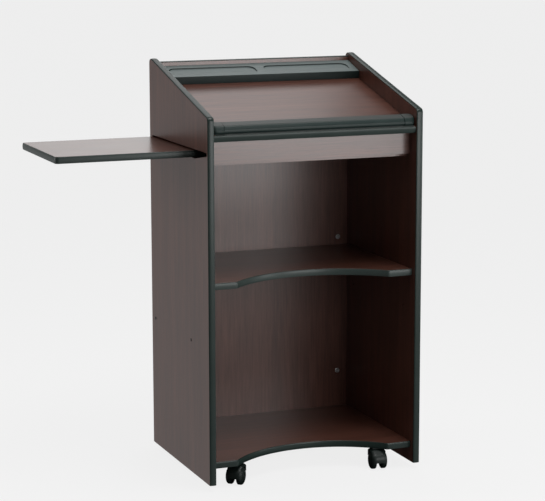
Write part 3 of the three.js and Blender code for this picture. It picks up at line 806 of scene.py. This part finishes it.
def screw_mesh(radius, material=STEEL):
    """A pan-head screw with a cross recess. Its head stands on z = 0."""
    height = radius * 0.55
    profile = [(0, -0.001), (radius * 0.45, -0.001), (radius * 0.45, 0), (radius, 0)]
    steps = 6
    for step in range(steps + 1):
        angle = math.pi / 2 * step / steps
        profile.append((radius * math.cos(angle) ** 0.6, height * (0.25 + 0.75 * math.sin(angle))))
    screw = new_object("screw", *lathe(profile, 32), material, smooth_below=40)
    combine(screw, cross_recess(radius * 0.55, radius * 0.11, height * 0.35, height * 2),
            "DIFFERENCE")
    soften(screw.data, 40)
    mesh = screw.data
    bpy.data.objects.remove(screw)
    return mesh


def place_screw(name, mesh, point, direction, body):
    screw = bpy.data.objects.new(name, mesh)
    bpy.context.scene.collection.objects.link(screw)
    turn = Vector(direction).to_track_quat("Z", "Y").to_matrix().to_4x4()
    screw.matrix_world = Matrix.Translation(point) @ turn
    finish_piece(screw, body, "steel")


def wood_screws():
    """Screws that hold the bay's guides and stops."""
    mesh = screw_mesh(0.0035)
    shares = [0.08 + 0.28 * i for i in range(4)]
    low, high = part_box("shelf_guide_front")
    from_edge = 0.009
    for i, share in enumerate(shares):
        point = (low.x + (high.x - low.x) * share, low.y + from_edge, high.z)
        place_screw(f"guide_front_screw_{i + 1}", mesh, point, (0, 0, 1), "cabinet")
    low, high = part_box("shelf_guide_rear")
    for i, share in enumerate(shares):
        point = (low.x + (high.x - low.x) * share, low.y, (low.z + high.z) / 2)
        place_screw(f"guide_rear_screw_{i + 1}", mesh, point, (0, -1, 0), "cabinet")
    for stop, body in (("shelf_stop_in", "cabinet"), ("shelf_stop_out", "side_shelf")):
        low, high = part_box(stop)
        for i, share in enumerate((0.25, 0.75)):
            point = ((low.x + high.x) / 2, low.y + (high.y - low.y) * share, high.z)
            place_screw(f"{stop}_screw_{i + 1}", mesh, point, (0, 0, 1), body)


def panel_caps():
    """Small dark caps over the bolts through the side panels, under the middle shelf."""
    radius = 0.0045
    rise = 0.0012
    profile = [(0, -0.0008), (radius, -0.0008), (radius, rise * 0.35)]
    steps = 6
    for step in range(1, steps + 1):
        angle = math.pi / 2 * step / steps
        profile.append((radius * math.cos(angle) ** 0.7, rise * (0.35 + 0.65 * math.sin(angle))))
    bolt_height = 0.403
    for side, sign in (("left", -1), ("right", 1)):
        for end, y in (("front", -0.100), ("rear", 0.217)):
            place = Matrix.Translation((MIDDLE + sign * HALF_WIDTH, y, bolt_height))
            turn = place @ Matrix.Rotation(sign * math.pi / 2, 4, "Y")
            vertices, faces = lathe(profile, 32)
            cap = new_object(f"panel_cap_{side}_{end}", moved(vertices, turn), faces, EDGING,
                             smooth_below=50)
            finish_piece(cap, "cabinet", "edging")


# ---- Casters --------------------------------------------------------------------------------

WHEEL_RADIUS = 0.025
WHEEL_INNER = 0.0083
CASTER_TRAIL = 0.018
CANOPY_INNER = WHEEL_RADIUS + 0.0012
CANOPY_OUTER = CANOPY_INNER + 0.0024
CANOPY_HALF = 0.022
CANOPY_START = -6
CANOPY_SHOULDER = 55
HOOD_FRONT = -0.0095
HOOD_ROOT = WHEEL_RADIUS + 0.011
WEB_HALF = 0.0065
WEB_OVERLAP = 0.0006
HUB_RADIUS = 0.011
BRAKE_HUB_RADIUS = 0.0195
BRAKE_REACH = 0.0186
HOOD_TO_PLATE = 0.0006
CASTER_SCREW_REACH = 0.012
CASTER_SCREW_SINK = 0.0017  # so that the hood turns clear of the heads


def caster_frame(name):
    """Matrix from a caster's own frame, swivel axis Z and wheels trailing to +X, to the row."""
    plate_low, plate_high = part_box(name + "_plate")
    axle_low, axle_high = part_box(name + "_axle")
    centre = (plate_low + plate_high) / 2
    trail = (axle_low + axle_high) / 2 - centre
    heading = math.atan2(trail.y, trail.x)
    return Matrix.Translation((centre.x, centre.y, 0)) @ Matrix.Rotation(heading, 4, "Z")


def wheel_profile():
    """(radius, distance from the caster's middle), from the hub's outer face to the bore."""
    return [
        (0, 0.0252), (0.0046, 0.0252), (0.0053, 0.0248), (0.0058, 0.0241), (0.0066, 0.0241),
        (0.0072, 0.0250), (0.0100, 0.0251), (0.0130, 0.0247), (0.0160, 0.0240),
        (0.0180, 0.0233), (0.0186, 0.0225), (0.0193, 0.0224), (0.0200, 0.0230),
        (0.0214, 0.0226), (0.0228, 0.0217), (0.0240, 0.0204), (0.0247, 0.0192),
        (WHEEL_RADIUS, 0.0176), (WHEEL_RADIUS, 0.0112), (0.0246, 0.0098), (0.0236, 0.0088),
        (0.0220, WHEEL_INNER), (0.0090, WHEEL_INNER), (0.0033, WHEEL_INNER),
        (0.0033, 0.0240), (0, 0.0240),
    ]


def caster_wheel(name, frame_matrix, sign, body):
    vertices, faces = lathe(wheel_profile(), 72)
    turn = Matrix.Rotation(-sign * math.pi / 2, 4, "X")
    matrix = frame_matrix @ Matrix.Translation((CASTER_TRAIL, 0, WHEEL_RADIUS)) @ turn
    wheel = new_object(name + "_disc", moved(vertices, matrix), faces, CASTER, smooth_below=38)
    finish_piece(wheel, body, "caster_nylon", name)


def arc_solid(section, start, end, steps):
    """Sweeps a section in (along the axle, radius) about the axle, in the caster's frame."""
    rings = []
    for step in range(steps + 1):
        angle = math.radians(start + (end - start) * step / steps)
        rings.append([Vector((
            CASTER_TRAIL + radius * math.cos(angle), along,
            WHEEL_RADIUS + radius * math.sin(angle),
        )) for along, radius in section])
    return new_object("arc", *loft(rings))


def plate_solid(points, half):
    """An outline in (x, z) of the caster's frame, thickened along the axle."""
    rings = [[Vector((x, along, z)) for x, z in points] for along in (-half, half)]
    return new_object("plate", *loft(rings))


def hood_outline(top):
    """The hood from the side: round over the wheels, then up to a flat top with soft corners."""
    start, shoulder = math.radians(CANOPY_START), math.radians(CANOPY_SHOULDER)
    points = [Vector((CASTER_TRAIL, WHEEL_RADIUS))]
    steps = 24
    for step in range(steps + 1):
        angle = start + (shoulder - start) * step / steps
        points.append(Vector((CASTER_TRAIL + CANOPY_OUTER * math.cos(angle),
                              WHEEL_RADIUS + CANOPY_OUTER * math.sin(angle))))
    end = points[-1].x - (top - points[-1].y) * math.tan(shoulder)
    tail = outline([
        Corner(end + 0.006, top - 0.006 / math.tan(shoulder)), Corner(end, top, 0.012),
        Corner(HOOD_FRONT, top, 0.006), Corner(HOOD_FRONT, HOOD_ROOT),
        Corner(CASTER_TRAIL, HOOD_ROOT - 0.001),
    ], steps=8)
    return points + tail[:-1]


def hood_dome(top):
    """The hood's outer body: its outline swept across, and drawn in towards both sides."""
    points = hood_outline(top)
    centre = Vector((CASTER_TRAIL * 0.55, WHEEL_RADIUS))
    draw_in = 0.115
    rings = []
    steps = 22
    for step in range(steps + 1):
        share = -1 + 2 * step / steps
        shrink = 1 - draw_in * abs(share) ** 4.5
        rings.append([Vector((centre.x + (p.x - centre.x) * shrink, CANOPY_HALF * share,
                              centre.y + (p.y - centre.y) * shrink)) for p in points])
    return new_object("dome", *loft(rings))


def caster_hood(name, frame_matrix, brake):
    """Hood over the wheels, with the web between them and the boss round the kingpin."""
    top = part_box(name + "_hood")[1].z
    hood = hood_dome(top)
    room = [(0, -0.04), (CANOPY_INNER, -0.04), (CANOPY_INNER, 0.04), (0, 0.04)]
    turn = Matrix.Translation((CASTER_TRAIL, 0, WHEEL_RADIUS)) @ Matrix.Rotation(
        math.pi / 2, 4, "X")
    vertices, faces = lathe(room, 96)
    combine(hood, new_object("room", moved(vertices, turn), faces), "DIFFERENCE")
    web_radius = BRAKE_HUB_RADIUS if brake else CANOPY_INNER + WEB_OVERLAP
    web_points = [(CASTER_TRAIL + web_radius * math.cos(math.radians(a)),
                   WHEEL_RADIUS + web_radius * math.sin(math.radians(a)))
                  for a in range(CANOPY_START, 191, 7)]
    combine(hood, plate_solid(web_points, WEB_HALF), "UNION")
    neck = [(-0.0085, 0.029), (-0.005, 0.024), (CASTER_TRAIL, 0.0142),
            (CASTER_TRAIL, WHEEL_RADIUS + CANOPY_INNER + WEB_OVERLAP),
            (0.006, top - 0.0012), (-0.0085, top - 0.0012)]
    combine(hood, plate_solid(neck, WEB_HALF - 0.0001), "UNION")
    vertices, faces = lathe([(0, 0.0001 - WEB_HALF), (HUB_RADIUS, 0.0001 - WEB_HALF),
                             (HUB_RADIUS, WEB_HALF - 0.0001), (0, WEB_HALF - 0.0001)], 64)
    combine(hood, new_object("hub", moved(vertices, turn), faces), "UNION")
    if brake:
        notch = [(-0.0085, 0.0195), (0.0085, 0.0195), (0.0085, 0.034), (-0.0085, 0.034)]
        combine(hood, arc_solid(notch, 18, 66, 16), "DIFFERENCE")
        ear = [(-0.0025, 0.018), (0.0025, 0.018), (0.0025, 0.0292), (-0.0025, 0.0292)]
        combine(hood, arc_solid(ear, 37, 53, 8), "UNION")
    hood.data.transform(frame_matrix)
    hood.name = name + "_cover"
    hood.data.materials.clear()
    hood.data.materials.append(CASTER)
    soften(hood.data, 40)
    bevel(hood, 0.0005, 2, 50)
    finish_piece(hood, name + "_swivel", "caster_nylon", name + "_hood")


def brake_pedal(name, frame_matrix):
    pivot = Vector((CASTER_TRAIL + BRAKE_REACH, 0, WHEEL_RADIUS + BRAKE_REACH))
    hub = 0.0035
    tip = pivot.x + 0.022
    side = outline([
        Corner(pivot.x - hub, pivot.z - hub, 0.003),
        Corner(pivot.x + hub, pivot.z - hub, 0.003),
        Corner(tip, pivot.z + 0.001, 0.0012),
        Corner(tip, pivot.z + 0.004, 0.0012),
        Corner(pivot.x - hub, pivot.z + 0.004, 0.003),
    ], steps=6)
    pedal = plate_solid([(p.x, p.y) for p in side], 0.0075)
    room = [(pivot.x - 0.006, pivot.z - 0.008), (pivot.x + 0.0065, pivot.z - 0.008),
            (pivot.x + 0.0065, pivot.z + 0.008), (pivot.x - 0.006, pivot.z + 0.008)]
    combine(pedal, plate_solid(room, 0.0029), "DIFFERENCE")
    pad_half = 0.013
    plan = rounded_box(pivot.x + 0.009, -pad_half, tip, pad_half, 0.003, steps=6)
    rings = [[Vector((p.x, p.y, z)) for p in plan] for z in (pivot.z + 0.0006, pivot.z + 0.0039)]
    combine(pedal, new_object("pad", *loft(rings)), "UNION")
    turn = Matrix.Translation((pivot.x, -0.006, pivot.z)) @ Matrix.Rotation(
        -math.pi / 2, 4, "X")
    vertices, faces = lathe([(0, 0), (0.0015, 0), (0.0015, 0.012), (0, 0.012)], 20)
    combine(pedal, new_object("pin", moved(vertices, turn), faces), "UNION")
    pedal.data.transform(frame_matrix)
    pedal.name = name + "_pedal"
    pedal.data.materials.clear()
    pedal.data.materials.append(CASTER)
    soften(pedal.data, 40)
    bevel(pedal, 0.0004, 2, 50)
    finish_piece(pedal, name + "_brake", "caster_nylon", name + "_brake")


def casters():
    mesh = screw_mesh(0.0036, DARK_STEEL)
    for name in ("caster_front_left", "caster_front_right", "caster_rear_left",
                 "caster_rear_right"):
        matrix = caster_frame(name)
        brake = name + "_brake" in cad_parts
        caster_hood(name, matrix, brake)
        for wheel, sign in (("wheel_a", 1), ("wheel_b", -1)):
            caster_wheel(f"{name}_{wheel}", matrix, sign, f"{name}_{wheel}")
        if brake:
            brake_pedal(name, matrix)
        head_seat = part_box(name + "_hood")[1].z + HOOD_TO_PLATE + CASTER_SCREW_SINK
        for i, (x, y) in enumerate(((-1, -1), (1, -1), (1, 1), (-1, 1))):
            reach = Vector((CASTER_SCREW_REACH * x, CASTER_SCREW_REACH * y, head_seat))
            point = matrix @ reach
            place_screw(f"{name}_screw_{i + 1}", mesh, point, (0, 0, -1), "cabinet")


# ---- Studio ---------------------------------------------------------------------------------


FLOOR_GLOW = 0.825


def studio_floor():
    shader = Shader("studio_floor", Roughness=0.9)
    shader.principled.inputs["Base Color"].default_value = (0.08, 0.08, 0.08, 1)
    shader.principled.inputs["Specular IOR Level"].default_value = 0.0
    shader.principled.inputs["Emission Color"].default_value = (1, 1, 1, 1)
    shader.principled.inputs["Emission Strength"].default_value = FLOOR_GLOW
    reach = 60
    corners = [(-reach, -reach, 0), (reach, -reach, 0), (reach, reach, 0), (-reach, reach, 0)]
    floor = new_object("floor", corners, [(0, 1, 2, 3)], shader.material)
    if floor.data.polygons[0].normal.z < 0:
        floor.data.flip_normals()
    floor.visible_glossy = False
    floor.visible_diffuse = False


def shade_under_cabinet():
    """A dark patch that only reflections see, as the studio floor hides from them."""
    shader = Shader("floor_shade", Roughness=0.9)
    shader.principled.inputs["Base Color"].default_value = (0.02, 0.02, 0.02, 1)
    depth = -0.002
    left, right = MIDDLE - HALF_WIDTH, MIDDLE + HALF_WIDTH
    corners = [(left, FRONT, depth), (right, FRONT, depth), (right, BACK, depth),
               (left, BACK, depth)]
    shade = new_object("floor_shade", corners, [(0, 1, 2, 3)], shader.material)
    shade.visible_camera = False
    shade.visible_diffuse = False
    shade.visible_shadow = False


def softbox(name, place, target, size, radiance):
    """A square area light of a given radiance, turned to its target."""
    data = bpy.data.lights.new(name, "AREA")
    data.shape = "RECTANGLE"
    data.size, data.size_y = size
    data.energy = radiance * math.pi * size[0] * size[1]
    light = bpy.data.objects.new(name, data)
    light.location = place
    light.visible_camera = False
    light.rotation_euler = (Vector(target) - Vector(place)).to_track_quat("-Z", "Y").to_euler()
    bpy.context.scene.collection.objects.link(light)


# Levels of the room's light below the horizon, at it, above it and overhead.
ROOM = {
    ("left", "front"): (0.10, 0.06, 0.06, 0.60),
    ("right", "front"): (0.55, 0.06, 0.06, 0.60),
    ("left", "back"): (0.42, 0.10, 0.10, 0.60),
    ("right", "back"): (0.20, 1.65, 0.10, 0.60),
}
# Where each level starts and ends, as the height of the direction from -1 to 1.
ROOM_BANDS = ((-1.0, -0.11), (0.01, 0.24), (0.36, 0.69), (0.81, 1.0))


def room_light():
    """A room whose light depends on the quarter of the compass and on the height."""
    world = bpy.data.worlds.new("studio")
    bpy.context.scene.world = world
    world.use_nodes = True
    tree = world.node_tree
    coordinates = tree.nodes.new("ShaderNodeTexCoord")
    split = tree.nodes.new("ShaderNodeSeparateXYZ")
    tree.links.new(coordinates.outputs["Generated"], split.inputs[0])

    def mapped(axis, low, high):
        node = tree.nodes.new("ShaderNodeMapRange")
        node.inputs["From Min"].default_value = low
        node.inputs["From Max"].default_value = high
        tree.links.new(split.outputs[axis], node.inputs["Value"])
        return node.outputs["Result"]

    def mixed(share, first, second):
        node = tree.nodes.new("ShaderNodeMix")
        tree.links.new(share, node.inputs[0])
        tree.links.new(first, node.inputs[2])
        tree.links.new(second, node.inputs[3])
        return node.outputs[0]

    height = mapped("Z", -1, 1)
    quarters = {}
    brightest = max(max(levels) for levels in ROOM.values())
    for quarter, levels in ROOM.items():
        ramp = tree.nodes.new("ShaderNodeValToRGB")
        stops = [(z, level) for band, level in zip(ROOM_BANDS, levels) for z in band]
        while len(ramp.color_ramp.elements) < len(stops):
            ramp.color_ramp.elements.new(0.5)
        for element, (z, level) in zip(ramp.color_ramp.elements, stops):
            element.position = (z + 1) / 2
            element.color = (level / brightest,) * 3 + (1,)
        tree.links.new(height, ramp.inputs["Fac"])
        quarters[quarter] = ramp.outputs["Color"]
    rightwards = mapped("X", -0.3, 0.3)
    backwards = mapped("Y", -0.15, 0.15)
    rows = [mixed(rightwards, quarters["left", row], quarters["right", row])
            for row in ("front", "back")]
    strength = tree.nodes.new("ShaderNodeMath")
    strength.operation = "MULTIPLY"
    strength.inputs[1].default_value = brightest
    tree.links.new(mixed(backwards, *rows), strength.inputs[0])
    tree.links.new(strength.outputs[0], tree.nodes["Background"].inputs["Strength"])
    tree.nodes["Background"].inputs["Color"].default_value = (1, 1, 1, 1)


def lighting():
    """The room's light, softboxes in front, at the right and behind, a key light and a fill."""
    room_light()
    centre = Vector((MIDDLE, 0, 0.6))
    softbox("front softbox", (MIDDLE + 0.75, -2.2, 0.98), centre, (1.3, 1.0), 4.8)
    softbox("right softbox", (MIDDLE + 2.1, -1.35, 0.75), centre, (0.6, 1.1), 4.0)
    softbox("key light", (MIDDLE + 0.3, -0.9, 3.0), centre, (1.2, 0.9), 7.0)
    softbox("rear softbox", (MIDDLE + 0.5, 1.9, 2.8), centre, (1.4, 1.4), 1.35)
    softbox("left fill", (MIDDLE - 2.6, 0.9, 1.2), centre, (1.4, 1.6), 2.8)


def camera():
    """The viewpoint: a long lens from the front left, looking slightly down."""
    data = bpy.data.cameras.new("camera")
    yaw, pitch, roll = (math.radians(a) for a in (21.07, 9.96, -0.18))
    forward = Vector((math.sin(yaw) * math.cos(pitch), math.cos(yaw) * math.cos(pitch),
                      -math.sin(pitch)))
    level = Vector((math.cos(yaw), -math.sin(yaw), 0))
    upward = level.cross(forward)
    right = level * math.cos(roll) + upward * math.sin(roll)
    top = right.cross(forward)
    place = Vector((MIDDLE - 2.0659, -5.1419, 1.5956))
    rotation = Matrix((right, top, -forward)).transposed().to_4x4()
    data.sensor_width = 36.0
    data.lens = 128.42
    data.shift_x = 0.0298
    data.shift_y = -0.0014
    made = bpy.data.objects.new("camera", data)
    made.matrix_world = Matrix.Translation(place) @ rotation
    bpy.context.scene.collection.objects.link(made)
    bpy.context.scene.camera = made


camera()
lighting()
studio_floor()
shade_under_cabinet()
bpy.context.scene.view_settings.view_transform = "Standard"

finish_boards()
all_edging()
for shelf in ("middle_shelf", "bottom_deck"):
    hollow_shelf(shelf)
book_stop()
pencil_tray()
cam_locks()
shelf_pins()
wood_screws()
panel_caps()
casters()
